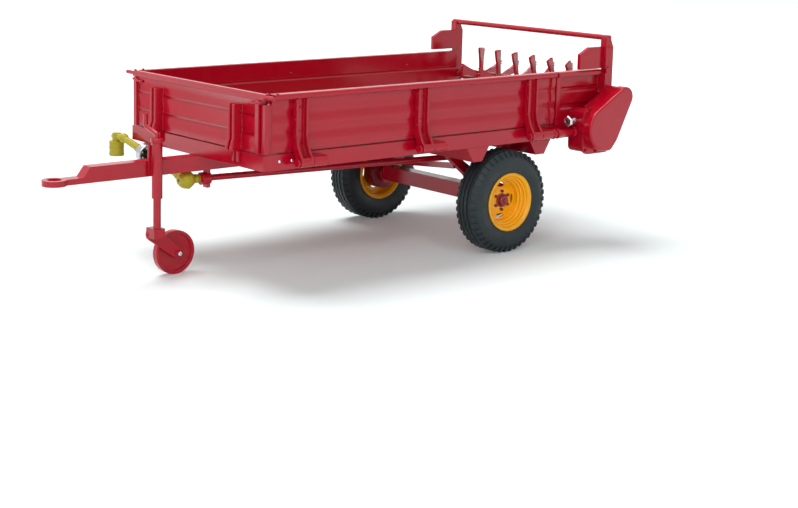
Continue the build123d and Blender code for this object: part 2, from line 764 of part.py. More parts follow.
# ---- road wheels ----
disc_out = 1.2
disc_t = 0.6
hub_r = 1.7
drum_r = 3.2
nut_r = 0.35
nut_circle = 2.9
hand_hole_circle = 3.85
for side, sign in (("left", 1), ("right", -1)):
    mid = sign * wheel_y
    with BuildPart() as tyre:
        with BuildSketch(Plane(origin=(axle_x, mid, axle_z), x_dir=(0, sign, 0), z_dir=(-sign, 0, 0))):
            with BuildLine():
                Polyline((-3.1, rim_seat_r), (3.1, rim_seat_r), (3.1, rim_r + 0.1))
                ThreePointArc((3.1, rim_r + 0.1), (tyre_w / 2, 9.9), (3.1, tyre_r - 0.7))
                Polyline((3.1, tyre_r - 0.7), (2.5, tyre_r), (-2.5, tyre_r), (-3.1, tyre_r - 0.7))
                ThreePointArc((-3.1, tyre_r - 0.7), (-tyre_w / 2, 9.9), (-3.1, rim_r + 0.1))
                Line((-3.1, rim_r + 0.1), (-3.1, rim_seat_r))
            make_face()
        revolve(axis=Axis((axle_x, 0, axle_z), (0, 1, 0)))
    finish(tyre.part, f"{side}_tyre")

    with BuildPart() as rim:
        with BuildSketch(Plane(origin=(axle_x, mid, axle_z), x_dir=(0, sign, 0), z_dir=(-sign, 0, 0))):
            with BuildLine():
                Polyline(
                    (disc_out - disc_t, hub_r),
                    (disc_out, hub_r),
                    (disc_out, 4.5),
                    (disc_out - 0.4, 5.0),
                    (-0.2, 5.2),
                    (-0.2, 5.45),
                    (1.0, 5.55),
                    (1.1, 5.85),
                    (2.2, 5.95),
                    (2.3, 6.2),
                    (3.15, 6.3),
                    (3.7, 6.9),
                    (3.7, rim_r),
                    (3.15, rim_r),
                    (3.15, rim_seat_r),
                    (-3.15, rim_seat_r),
                    (-3.15, rim_r),
                    (-3.6, rim_r),
                    (-3.6, 6.2),
                    (-0.9, 6.1),
                    (-0.9, 4.9),
                    (disc_out - disc_t, 4.4),
                    close=True,
                )
            make_face()
        revolve(axis=Axis((axle_x, 0, axle_z), (0, 1, 0)))
        with BuildSketch(Plane.XZ.offset(-mid)) as hand_holes:
            with Locations((axle_x, axle_z)):
                with PolarLocations(hand_hole_circle, 4):
                    SlotOverall(2.2, 0.9, rotation=90)
        extrude(hand_holes.sketch, amount=-sign * (disc_out + 0.1), mode=Mode.SUBTRACT)
    finish(rim.part, f"{side}_rim")

    with BuildPart() as hub:
        hub_inner = sign * (axle_half + 0.9)
        disc_back = mid + sign * (disc_out - disc_t)
        disc_face = mid + sign * disc_out
        rod_y(hub_inner, mid + sign * 2.2, axle_x, axle_z, hub_r)
        fillet(hub.faces().sort_by(Axis.Y)[-1 if sign > 0 else 0].edges(), 0.5)
        rod_y(hub_inner + sign * 0.7, disc_back, axle_x, axle_z, drum_r)
        for out in (1.6, 3.0):
            rod_y(hub_inner + sign * out, hub_inner + sign * (out + 0.5), axle_x, axle_z, drum_r + 0.3)
        rod_y(hub_inner, mid + sign * 0.3, axle_x, axle_z, stub_r + bore_gap, mode=Mode.SUBTRACT)
        with BuildSketch(Plane.XZ.offset(-disc_face)) as nuts:
            with Locations((axle_x, axle_z)):
                with PolarLocations(nut_circle, 6):
                    RegularPolygon(nut_r, 6)
        extrude(nuts.sketch, amount=-sign * 0.5)
    finish(hub.part, f"{side}_hub")

# ---- rotor: a drum with helical rows of serrated paddles ----
rotor_x = x_at(rotor_back)
paddle_t = 0.6
paddle = (  # across, out from the axis
    (-1.0, 1.0),
    (1.0, 1.0),
    (1.1, 4.4),
    (1.7, 7.2),
    (1.75, 8.3),
    (1.3, 7.7),
    (0.85, 8.3),
    (0.4, 7.6),
    (-0.05, 8.2),
    (-0.5, 7.5),
    (-0.95, 8.1),
    (-1.35, 7.4),
    (-1.75, 7.9),
    (-1.7, 7.0),
    (-1.1, 4.4),
)
with BuildPart() as rotor:
    rod_y(-drum_half, drum_half, rotor_x, rotor_z, rotor_drum_r)
    for row in range(rotor_rows):
        for i in range(paddles_in_row):
            step = i - (paddles_in_row - 1) / 2
            turn = radians(row * 360 / rotor_rows + row_start + step * paddle_twist)
            out = Vector(sin(turn), 0, cos(turn))
            round_ = Vector(cos(turn), 0, -sin(turn))
            across = round_ * cos(radians(blade_pitch)) + Vector(0, 1, 0) * sin(radians(blade_pitch))
            root = (rotor_x, step * paddle_pitch, rotor_z)
            place = Plane(origin=root, x_dir=across, z_dir=across.cross(out))
            with BuildSketch(place):
                with BuildLine():
                    Polyline(*paddle, close=True)
                make_face()
            extrude(amount=paddle_t / 2, both=True)
finish(rotor.part, "rotor")

with BuildPart() as rotor_journals:
    rod_y(-post_out - 1.0, -drum_half, rotor_x, rotor_z, journal_r)
    rod_y(-post_out - 0.8, -post_out - 0.2, rotor_x, rotor_z, 1.2)
    rod_y(drum_half, case_flange_y, rotor_x, rotor_z, journal_r)
finish(rotor_journals.part, "rotor_journals")

# ---- small parts at the rear corners ----
fitting_y = frame_half + 3.4
fitting_z = case_z + 2.1
with BuildPart() as gear_pin:
    rod_x(x_at(case_front + 1.0), x_at(case_front - 2.0), fitting_y, fitting_z, 0.4)
    rod_x(x_at(case_front - 1.8), x_at(case_front - 3.6), fitting_y, fitting_z, 0.9)
    gear_body(Mode.SUBTRACT)
finish(gear_pin.part, "gear_pin")

bracket_back = 101.0
bracket_out = frame_half + 2.2
with BuildPart() as conveyor_bearing:
    x0 = x_at(bracket_back + 1.6)
    x1 = x_at(bracket_back - 1.6)
    slab(x0, x1, -frame_half, -bracket_out, hinge_z - 1.2, hinge_z + 1.0)
    rod_x(x_at(bracket_back + 2.6), x_at(bracket_back - 2.4), -bracket_out + 1.0, hinge_z, 0.8)
finish(conveyor_bearing.part, "conveyor_bearing")
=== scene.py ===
import json
import math

import bmesh
import bpy
from mathutils import Matrix, Vector


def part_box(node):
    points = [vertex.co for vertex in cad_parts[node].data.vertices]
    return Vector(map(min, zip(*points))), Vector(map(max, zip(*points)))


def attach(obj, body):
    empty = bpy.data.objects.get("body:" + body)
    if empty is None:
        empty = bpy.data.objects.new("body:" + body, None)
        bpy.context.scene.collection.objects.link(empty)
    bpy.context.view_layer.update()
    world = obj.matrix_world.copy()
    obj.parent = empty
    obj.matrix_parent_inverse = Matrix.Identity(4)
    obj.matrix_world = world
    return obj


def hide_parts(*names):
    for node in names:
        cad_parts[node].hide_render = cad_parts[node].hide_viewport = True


# Dresses the 1:32 manure spreader: finishes, tyres, rims, pressed boards, guards, nuts, rivets and bolts.
# +X is forward, +Y the machine's left, z = 0 the ground. Lengths are in millimetres, times MM for metres.

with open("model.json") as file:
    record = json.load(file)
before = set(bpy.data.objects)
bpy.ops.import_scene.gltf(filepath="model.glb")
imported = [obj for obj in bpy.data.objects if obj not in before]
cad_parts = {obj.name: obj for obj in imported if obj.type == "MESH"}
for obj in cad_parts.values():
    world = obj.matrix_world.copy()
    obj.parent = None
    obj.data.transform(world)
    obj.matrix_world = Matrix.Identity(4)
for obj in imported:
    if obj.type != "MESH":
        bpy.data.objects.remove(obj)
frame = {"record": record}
bpy.ops.object.select_all(action="DESELECT")
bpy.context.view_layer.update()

MM = 0.001


def box_mm(node):
    """A node's lowest and highest corners in millimetres."""
    low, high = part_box(node)
    return Vector(low) / MM, Vector(high) / MM


# ---------------------------------------------------------------- camera
camera_azimuth = math.radians(51.37)
camera_elevation = math.radians(8.92)
camera_roll = math.radians(1.11)
camera_distance = 390.5
look_at = Vector((-10.7, 0.0, 22.0))
side_step = Vector((-6.1, 5.03))

towards = Vector(
    (
        math.cos(camera_elevation) * math.cos(camera_azimuth),
        math.cos(camera_elevation) * math.sin(camera_azimuth),
        math.sin(camera_elevation),
    )
)
level_right = (-towards).cross(Vector((0, 0, 1))).normalized()
level_up = level_right.cross(-towards)
right = math.cos(camera_roll) * level_right + math.sin(camera_roll) * level_up
up = -math.sin(camera_roll) * level_right + math.cos(camera_roll) * level_up
place = look_at + camera_distance * towards + side_step.x * right + side_step.y * up

camera_data = bpy.data.cameras.new("camera")
camera = bpy.data.objects.new("camera", camera_data)
bpy.context.scene.collection.objects.link(camera)
turned = Matrix((right, up, towards)).transposed().to_4x4()
camera.matrix_world = Matrix.Translation(place * MM) @ turned
camera_data.sensor_width = 36
camera_data.lens = 69.4
camera_data.shift_x = 0.0802
camera_data.shift_y = -0.1429
camera_data.clip_start = 0.01
camera_data.clip_end = 20
bpy.context.scene.camera = camera


# ---------------------------------------------------------------- materials
drift_scale = 60.0
gloss_scale = 420.0


def new_material(name):
    """An empty node material with its shader, output and the object's own coordinates."""
    material = bpy.data.materials.new(name)
    material.use_nodes = True
    nodes = material.node_tree.nodes
    nodes.clear()
    shader = nodes.new("ShaderNodeBsdfPrincipled")
    output = nodes.new("ShaderNodeOutputMaterial")
    where = nodes.new("ShaderNodeTexCoord")
    material.node_tree.links.new(shader.outputs["BSDF"], output.inputs["Surface"])
    return material, material.node_tree, shader, where.outputs["Object"]


def noise_of(tree, where, scale, detail=3.0):
    """Noise with features about 1/scale metres across."""
    noise = tree.nodes.new("ShaderNodeTexNoise")
    noise.inputs["Scale"].default_value = scale
    noise.inputs["Detail"].default_value = detail
    tree.links.new(where, noise.inputs["Vector"])
    return noise.outputs["Fac"]


def between(tree, value, low, high):
    """Spreads the 0.3 to 0.7 that noise mostly gives over another range."""
    spread = tree.nodes.new("ShaderNodeMapRange")
    spread.inputs["From Min"].default_value = 0.3
    spread.inputs["From Max"].default_value = 0.7
    spread.inputs["To Min"].default_value = low
    spread.inputs["To Max"].default_value = high
    tree.links.new(value, spread.inputs["Value"])
    return spread.outputs["Result"]


def blend_colours(tree, value, first, second):
    """Mixes two colours by a value."""
    mix = tree.nodes.new("ShaderNodeMix")
    mix.data_type = "RGBA"
    mix.inputs["A"].default_value = (*first, 1)
    mix.inputs["B"].default_value = (*second, 1)
    tree.links.new(value, mix.inputs["Factor"])
    return mix.outputs["Result"]


def worn_finish(name, light, dark, rough, grain, grain_depth, soft_edge, coat=0.0, metal=0.0, specular=0.5):
    """A painted, moulded or plated skin.

    Its tone drifts a little, its gloss varies, its surface has a fine grain and its edges are softened."""
    material, tree, shader, where = new_material(name)
    drift = noise_of(tree, where, drift_scale)
    tone = blend_colours(tree, between(tree, drift, 0.0, 1.0), light, dark)
    tree.links.new(tone, shader.inputs["Base Color"])
    gloss = noise_of(tree, where, gloss_scale, 4.0)
    tree.links.new(between(tree, gloss, rough * 0.82, rough * 1.2), shader.inputs["Roughness"])
    shader.inputs["Metallic"].default_value = metal
    shader.inputs["Specular IOR Level"].default_value = specular
    shader.inputs["Coat Weight"].default_value = coat
    shader.inputs["Coat Roughness"].default_value = 0.12
    bump = tree.nodes.new("ShaderNodeBump")
    bump.inputs["Strength"].default_value = 0.35
    bump.inputs["Distance"].default_value = grain_depth * MM
    tree.links.new(noise_of(tree, where, grain, 4.0), bump.inputs["Height"])
    if soft_edge:
        edge = tree.nodes.new("ShaderNodeBevel")
        edge.samples = 4
        edge.inputs["Radius"].default_value = soft_edge * MM
        tree.links.new(edge.outputs["Normal"], bump.inputs["Normal"])
    tree.links.new(bump.outputs["Normal"], shader.inputs["Normal"])
    return material


red_paint = worn_finish(
    "red_paint", (0.45, 0.0, 0.016), (0.405, 0.0, 0.012), 0.2, 900.0, 0.012, 0.22, coat=0.1, specular=0.38
)
dark_red = worn_finish(
    "dark_red", (0.25, 0.004, 0.012), (0.2, 0.003, 0.01), 0.32, 900.0, 0.03, 0.15, coat=0.2
)
rubber = worn_finish(
    "rubber", (0.024, 0.034, 0.037), (0.017, 0.025, 0.028), 0.5, 1400.0, 0.02, 0.0, specular=0.3
)
rim_orange = worn_finish(
    "rim_orange", (0.98, 0.45, 0.002), (0.93, 0.4, 0.002), 0.22, 800.0, 0.012, 0.15, coat=0.15, specular=0.35
)
guard_yellow = worn_finish(
    "guard_yellow", (0.44, 0.36, 0.015), (0.37, 0.31, 0.01), 0.35, 700.0, 0.03, 0.15, specular=0.35
)
cream_floor = worn_finish(
    "cream_floor", (0.42, 0.33, 0.235), (0.37, 0.29, 0.2), 0.5, 500.0, 0.04, 0.1
)
bright_steel = worn_finish(
    "bright_steel", (0.7, 0.7, 0.71), (0.6, 0.6, 0.62), 0.18, 900.0, 0.01, 0.1, metal=1.0
)
black_plastic = worn_finish(
    "black_plastic", (0.02, 0.02, 0.022), (0.014, 0.014, 0.016), 0.4, 900.0, 0.02, 0.12
)
grey_steel = worn_finish(
    "grey_steel", (0.55, 0.55, 0.56), (0.42, 0.42, 0.43), 0.25, 900.0, 0.01, 0.1, metal=1.0
)

finishes = {
    "red_paint": red_paint,
    "dark_red": dark_red,
    "tyre": rubber,
    "rim_orange": rim_orange,
    "guard_green": guard_yellow,
    "cream_floor": cream_floor,
    "chrome": bright_steel,
    "black_plastic": black_plastic,
}
slot_of = {entry["node"]: entry["material_slot"] for entry in frame["record"]["subparts"]}
for node, slot in slot_of.items():
    skin = bpy.data.objects[node]
    skin.data.materials.clear()
    skin.data.materials.append(finishes[slot])


# ---------------------------------------------------------------- modelling helpers
templates = []  # shapes that are only copied, and deleted at the end
weld_gap = 0.002


def pick_faces(piece, wanted):
    """Selects, in edit mode, the faces whose middle (in mm) and outward direction pass a test."""
    bpy.ops.mesh.select_mode(type="FACE")
    bpy.ops.mesh.select_all(action="DESELECT")
    shape = bmesh.from_edit_mesh(piece.data)
    for face in shape.faces:
        face.select_set(bool(wanted(face.calc_center_median() / MM, face.normal)))
    bmesh.update_edit_mesh(piece.data)


def pick_corners(piece, wanted):
    """Selects, in edit mode, the vertices whose place (in mm) passes a test."""
    bpy.ops.mesh.select_mode(type="VERT")
    bpy.ops.mesh.select_all(action="DESELECT")
    shape = bmesh.from_edit_mesh(piece.data)
    for corner in shape.verts:
        corner.select_set(bool(wanted(corner.co / MM)))
    shape.select_flush(True)
    bmesh.update_edit_mesh(piece.data)


def pick_open_edges():
    """Selects, in edit mode, the free edges of an open shape."""
    bpy.ops.mesh.select_mode(type="EDGE")
    bpy.ops.mesh.select_all(action="DESELECT")
    bpy.ops.mesh.select_non_manifold(extend=False, use_wire=False, use_multi_face=False)


def grow_rings(profile):
    """Draws the open rim rings out through radius and half-width pairs, both sides alike."""
    for (radius, half), (next_radius, next_half) in zip(profile, profile[1:]):
        pick_open_edges()
        bpy.ops.mesh.extrude_region_move()
        scale = next_radius / radius
        bpy.ops.transform.resize(value=(scale, next_half / half, scale), center_override=(0, 0, 0))


def settle(piece, name, body, finish, smooth_angle=35.0):
    """Names a finished piece, applies its place, smooths it and puts it on its body."""
    bpy.ops.object.select_all(action="DESELECT")
    piece.select_set(True)
    bpy.context.view_layer.objects.active = piece
    bpy.ops.object.transform_apply(location=True, rotation=True, scale=True)
    bpy.ops.object.shade_smooth_by_angle(angle=math.radians(smooth_angle))
    piece.name = name
    piece.data.name = name
    piece.data.materials.clear()
    piece.data.materials.append(finish)
    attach(piece, body)
    piece.select_set(False)


def ring_start(sides, radius, half):
    """A short open tube about Y at the origin, ready in edit mode."""
    bpy.ops.object.select_all(action="DESELECT")
    bpy.ops.mesh.primitive_cylinder_add(
        vertices=sides, radius=radius * MM, depth=2 * half * MM, end_fill_type="NOTHING"
    )
    piece = bpy.context.object
    bpy.ops.object.mode_set(mode="EDIT")
    bpy.ops.mesh.select_all(action="SELECT")
    bpy.ops.transform.rotate(value=math.radians(90), orient_axis="X", center_override=(0, 0, 0))
    return piece


def box_start(low, high):
    """A box between two corners in mm, ready in edit mode."""
    bpy.ops.object.select_all(action="DESELECT")
    bpy.ops.mesh.primitive_cube_add(size=1)
    piece = bpy.context.object
    bpy.ops.object.mode_set(mode="EDIT")
    bpy.ops.transform.resize(value=(high - low) * MM)
    bpy.ops.transform.translate(value=(high + low) / 2 * MM)
    return piece


def cut_level(place, facing):
    """Cuts the whole shape in two with a plane."""
    bpy.ops.mesh.select_all(action="SELECT")
    bpy.ops.mesh.bisect(plane_co=Vector(place) * MM, plane_no=facing)


def apply_modifier(piece, modifier):
    """Works a modifier into the piece's mesh."""
    bpy.context.view_layer.objects.active = piece
    bpy.ops.object.modifier_apply(modifier=modifier.name)


def copy_to(template, move, turn=None):
    """A copy of a piece with its own mesh, moved (in mm) and perhaps turned."""
    copy = template.copy()
    copy.data = template.data.copy()
    bpy.context.scene.collection.objects.link(copy)
    matrix = Matrix.Translation(Vector(move) * MM)
    if turn is not None:
        matrix = matrix @ turn.to_matrix().to_4x4()
    copy.matrix_world = matrix
    return copy


def join_pieces(parts):
    """Joins several objects into the first."""
    bpy.ops.object.select_all(action="DESELECT")
    for part in parts:
        part.select_set(True)
    bpy.context.view_layer.objects.active = parts[0]
    bpy.ops.object.join()
    return bpy.context.object


def turned_ring(sides, profile):
    """A template of a ring about Y at the origin. Its closed section is drawn by radius and place along Y."""
    radius, along = profile[0]
    bpy.ops.object.select_all(action="DESELECT")
    bpy.ops.mesh.primitive_circle_add(vertices=sides, radius=radius * MM, fill_type="NOTHING")
    piece = bpy.context.object
    bpy.ops.object.mode_set(mode="EDIT")
    bpy.ops.mesh.select_mode(type="VERT")
    bpy.ops.mesh.select_all(action="SELECT")
    bpy.ops.transform.rotate(value=math.radians(90), orient_axis="X", center_override=(0, 0, 0))
    bpy.ops.transform.translate(value=(0, along * MM, 0))
    for (radius, along), (next_radius, next_along) in zip(profile, (*profile[1:], profile[0])):
        bpy.ops.mesh.extrude_region_move()
        scale = next_radius / radius
        bpy.ops.transform.resize(value=(scale, 1, scale), center_override=(0, along * MM, 0))
        bpy.ops.transform.translate(value=(0, (next_along - along) * MM, 0))
    bpy.ops.mesh.select_all(action="SELECT")
    bpy.ops.mesh.remove_doubles(threshold=weld_gap * MM)
    bpy.ops.mesh.normals_make_consistent(inside=False)
    bpy.ops.object.mode_set(mode="OBJECT")
    templates.append(piece)
    return piece


def bent_rod(points, radius):
    """A round bar that follows a smooth line led by five or more places given in mm."""
    bpy.ops.object.select_all(action="DESELECT")
    bpy.ops.curve.primitive_nurbs_path_add(location=(0, 0, 0))
    line = bpy.context.object
    spline = line.data.splines[0]
    spline.points.add(len(points) - len(spline.points))
    for point, place in zip(spline.points, points):
        point.co = (*(Vector(place) * MM), 1)
    spline.order_u = 3
    spline.use_endpoint_u = True
    spline.resolution_u = 6
    line.data.bevel_depth = radius * MM
    line.data.bevel_resolution = 4
    line.data.use_fill_caps = True
    bpy.ops.object.convert(target="MESH")
    return bpy.context.object


# ---------------------------------------------------------------- tyres
front_x = box_mm("cross_members")[1].x
tyre_low, tyre_high = box_mm("left_tyre")
tyre_steps = 88
tyre_r = (tyre_high.z - tyre_low.z) / 2
wheel_y = (tyre_high.y + tyre_low.y) / 2
wheel_x = (tyre_high.x + tyre_low.x) / 2
rib_sway = 0.13
block_height = 0.3
tread_least_r = 12.0
shoulder_r = (11.6, 12.75)
shoulder_half = (2.3, 3.2)
# each band of half-widths holds a groove and its edges
groove_bands = ((0.0, 0.3), (1.0, 1.6))

# radius, half-width: groove in the middle, two ribs a side, shoulder, sidewall, bead
tread_profile = (
    (12.52, 0.15),
    (12.96, 0.22),
    (13.0, 1.05),
    (12.52, 1.14),
    (12.52, 1.44),
    (12.95, 1.54),
    (12.86, 2.3),
    (12.5, 2.48),
    (12.1, 2.95),
    (11.5, 3.32),
    (10.8, 3.56),
    (9.8, 3.7),
    (9.55, 3.66),
    (8.9, 3.62),
    (8.3, 3.46),
    (8.1, 3.36),
    (7.45, 3.26),
    (7.35, 3.1),
    (6.72, 3.1),
)


def step_at(place):
    """Which of the tyre's steps round the axle a place is on."""
    turn = math.atan2(place.z, place.x) / (2 * math.pi) * tyre_steps
    return int(math.floor(turn + 1e-4)) % tyre_steps


def step_corner(place):
    """Which corner of the tyre's steps a vertex is on."""
    return round(math.atan2(place.z, place.x) / (2 * math.pi) * tyre_steps) % tyre_steps


def tyre_shape():
    """A farm trailer tyre about Y at the origin: zigzag ribs, blocks on the shoulders, plain walls."""
    piece = ring_start(tyre_steps, *tread_profile[0])
    grow_rings(tread_profile)
    pick_open_edges()
    bpy.ops.mesh.bridge_edge_loops()
    for low, high in groove_bands:
        for parity, sway in ((0, -rib_sway), (1, rib_sway)):
            pick_corners(
                piece,
                lambda spot: low <= abs(spot.y) <= high
                and math.hypot(spot.x, spot.z) > tread_least_r
                and step_corner(spot) % 2 == parity,
            )
            bpy.ops.transform.translate(value=(0, sway * MM, 0))
    pick_faces(
        piece,
        lambda middle, facing: shoulder_half[0] < abs(middle.y) < shoulder_half[1]
        and shoulder_r[0] < math.hypot(middle.x, middle.z) < shoulder_r[1]
        and step_at(middle) % 2 == 0,
    )
    bpy.ops.mesh.extrude_region_shrink_fatten(TRANSFORM_OT_shrink_fatten={"value": block_height * MM})
    bpy.ops.mesh.select_all(action="SELECT")
    bpy.ops.mesh.normals_make_consistent(inside=False)
    bpy.ops.object.mode_set(mode="OBJECT")
    templates.append(piece)
    return piece


tyre_model = tyre_shape()
for side, sign in (("left", 1), ("right", -1)):
    tyre = copy_to(tyre_model, (wheel_x, sign * wheel_y, tyre_r))
    settle(tyre, f"{side}_tyre_tread", f"{side}_wheel", rubber, 32.0)
    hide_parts(f"{side}_tyre")


# ---------------------------------------------------------------- wheels
# radius, and place along Y from the wheel's middle plane: disc, stepped barrel, outer lip, inner lip, back
rim_profile = (
    (1.4, 0.2),
    (2.9, 0.2),
    (3.4, 0.0),
    (4.5, -0.35),
    (4.95, -0.3),
    (5.1, 0.1),
    (5.15, 0.8),
    (5.5, 1.0),
    (5.55, 1.6),
    (5.9, 1.8),
    (6.0, 2.5),
    (6.3, 2.65),
    (6.4, 3.1),
    (6.8, 3.55),
    (7.15, 3.7),
    (7.4, 3.5),
    (7.4, 3.15),
    (6.75, 3.1),
    (6.75, -3.1),
    (7.4, -3.15),
    (7.4, -3.5),
    (6.9, -3.6),
    (6.3, -3.1),
    (6.15, -1.2),
    (5.4, -0.75),
    (4.5, -0.75),
    (3.4, -0.4),
    (1.4, -0.2),
)
hand_holes = 4
hole_circle = 4.0
hole_half_width = 0.6
hole_stretch = 2.1
disc_y = -0.3


def wheel_rim_shape():
    """A stepped rim about Y with a dished disc and its oval hand holes."""
    rim = turned_ring(72, rim_profile)
    for step in range(hand_holes):
        turn = 2 * math.pi * step / hand_holes
        bpy.ops.object.select_all(action="DESELECT")
        bpy.ops.mesh.primitive_cylinder_add(vertices=24, radius=hole_half_width * MM, depth=3 * MM)
        hole = bpy.context.object
        bpy.ops.object.mode_set(mode="EDIT")
        bpy.ops.transform.resize(value=(hole_stretch, 1, 1))
        bpy.ops.object.mode_set(mode="OBJECT")
        middle = Vector((hole_circle * math.cos(turn), disc_y, hole_circle * math.sin(turn))) * MM
        across = Matrix.Rotation(math.pi / 2 - turn, 4, "Y")
        hole.matrix_world = Matrix.Translation(middle) @ across @ Matrix.Rotation(math.pi / 2, 4, "X")
        cut = rim.modifiers.new("hand_hole", "BOOLEAN")
        cut.operation = "DIFFERENCE"
        cut.solver = "EXACT"
        cut.object = hole
        apply_modifier(rim, cut)
        bpy.data.objects.remove(hole)
    return rim


# the hub from its inner end outwards: brake drum, flange against the disc, cap
hub_inner = box_mm("left_hub")[0].y - wheel_y
hub_profile = (
    (0.5, hub_inner),
    (2.3, hub_inner),
    (2.3, hub_inner + 0.5),
    (3.8, hub_inner + 0.7),
    (4.2, hub_inner + 0.9),
    (4.2, hub_inner + 1.4),
    (3.9, hub_inner + 1.5),
    (3.9, hub_inner + 1.8),
    (4.2, hub_inner + 1.9),
    (4.2, -1.1),
    (3.9, -0.9),
    (1.6, -0.5),
    (1.6, 0.2),
    (1.75, 0.25),
    (1.75, 0.5),
    (1.45, 0.6),
    (1.4, 1.3),
    (1.2, 1.55),
    (0.5, 1.6),
)
cap_profile = ((0.08, 1.4), (0.55, 1.4), (0.75, 1.6), (0.65, 1.9), (0.35, 2.05), (0.08, 2.05))
rim_shape = wheel_rim_shape()
hub_shape = turned_ring(40, hub_profile)
cap_shape = turned_ring(20, cap_profile)
for side, sign in (("left", 1), ("right", -1)):
    facing = Vector((0, sign, 0)).to_track_quat("Y", "Z")
    middle = (wheel_x, sign * wheel_y, tyre_r)
    rim = copy_to(rim_shape, middle, facing)
    settle(rim, f"{side}_wheel_rim", f"{side}_wheel", rim_orange, 30.0)
    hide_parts(f"{side}_rim")
    hub = join_pieces([copy_to(hub_shape, middle, facing), copy_to(cap_shape, middle, facing)])
    settle(hub, f"{side}_wheel_hub", f"{side}_wheel", dark_red, 30.0)
    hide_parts(f"{side}_hub")


# ---------------------------------------------------------------- rivets and bolts
def rivet_shape(radius, height):
    """A template of a round rivet head on z = 0, domed by two smaller rings."""
    bpy.ops.object.select_all(action="DESELECT")
    bpy.ops.mesh.primitive_cylinder_add(
        vertices=14, radius=radius * MM, depth=height * MM / 2, location=(0, 0, height * MM / 4)
    )
    piece = bpy.context.object
    bpy.ops.object.transform_apply(location=True, rotation=True, scale=True)
    bpy.ops.object.mode_set(mode="EDIT")
    pick_faces(piece, lambda middle, facing: facing.z > 0.9)
    for inward, rise in ((0.25, 0.3), (0.3, 0.2)):
        bpy.ops.mesh.inset(thickness=radius * inward * MM)
        bpy.ops.transform.translate(value=(0, 0, height * rise * MM))
    bpy.ops.object.mode_set(mode="OBJECT")
    templates.append(piece)
    return piece


def bolt_shape(radius, height):
    """A template of a hexagon bolt head with chamfered corners and the end of its thread."""
    bpy.ops.object.select_all(action="DESELECT")
    bpy.ops.mesh.primitive_cylinder_add(
        vertices=6, radius=radius * MM, depth=height * MM, location=(0, 0, height * MM / 2)
    )
    piece = bpy.context.object
    bpy.ops.object.transform_apply(location=True, rotation=True, scale=True)
    bpy.ops.object.mode_set(mode="EDIT")
    pick_faces(piece, lambda middle, facing: facing.z > 0.9)
    bpy.ops.mesh.inset(thickness=radius * 0.18 * MM)
    bpy.ops.transform.translate(value=(0, 0, height * 0.15 * MM))
    bpy.ops.mesh.inset(thickness=radius * 0.3 * MM)
    bpy.ops.mesh.extrude_region_move(TRANSFORM_OT_translate={"value": (0, 0, height * 0.4 * MM)})
    bpy.ops.object.mode_set(mode="OBJECT")
    templates.append(piece)
    return piece


def fasten(template, name, spots, body, finish):
    """Copies a head to each place and direction, and joins them into one piece."""
    heads = []
    for place, facing in spots:
        heads.append(copy_to(template, place, Vector(facing).to_track_quat("Z", "Y")))
    settle(join_pieces(heads), name, body, finish)


rivet = rivet_shape(0.36, 0.3)
small_rivet = rivet_shape(0.26, 0.22)
bolt = bolt_shape(0.55, 0.45)
small_bolt = bolt_shape(0.42, 0.35)
wheel_nut = bolt_shape(0.4, 0.5)

# Each stake has rivets through its web, with their heads inside the board, and others in its two walls.
left_stakes_back = (9.7, 45.7, 82.4)
right_stakes_back = (6.9, 47.6, 88.3)
web_rivets_z = (36.2, 41.6)
wall_rivets_z = (35.0, 39.0, 42.4)
stake_half = 1.7
board_outer = 27.4
board_inner = 26.4
web_face = board_outer + 0.5
wall_middle = web_face + 0.55
for side, sign, stakes in (("left", 1, left_stakes_back), ("right", -1, right_stakes_back)):
    channel_spots = []
    inner_spots = []
    for back in stakes:
        for z in web_rivets_z:
            channel_spots.append(((front_x - back, sign * web_face, z), (0, sign, 0)))
            inner_spots.append(((front_x - back, sign * board_inner, z), (0, -sign, 0)))
        for z in wall_rivets_z:
            for out in (1, -1):
                spot = (front_x - back + out * stake_half, sign * wall_middle, z)
                channel_spots.append((spot, (out, 0, 0)))
    fasten(small_rivet, f"{side}_stake_rivets", channel_spots, f"{side}_side", red_paint)
    fasten(rivet, f"{side}_board_rivet_heads", inner_spots, f"{side}_side", red_paint)

nut_circle = 2.35
nut_seat = wheel_y + 0.18
for side, sign in (("left", 1), ("right", -1)):
    nut_spots = []
    for step in range(6):
        turn = math.radians(60 * step + 30)
        x = wheel_x + nut_circle * math.cos(turn)
        z = tyre_r + nut_circle * math.sin(turn)
        nut_spots.append(((x, sign * nut_seat, z), (0, sign, 0)))
    fasten(wheel_nut, f"{side}_wheel_nuts", nut_spots, f"{side}_wheel", dark_red)

flange_y = box_mm("gear_case")[1].y
flange_spots = []
for back, z in ((97.6, 34.9), (97.5, 30.0), (97.7, 24.9), (101.5, 24.5), (105.3, 24.7)):
    flange_spots.append(((front_x - back, flange_y, z), (0, 1, 0)))
fasten(small_bolt, "gear_flange_bolts", flange_spots, "chassis", red_paint)

# ---------------------------------------------------------------- clutch on the stored drive shaft
clutch_low, clutch_high = box_mm("pto_clutch")
clutch_middle = (clutch_low + clutch_high) / 2
shaft_line = Vector((-0.1, -28.2, 6.1)).normalized()
shaft_turn = (-shaft_line).to_track_quat("Y", "Z")

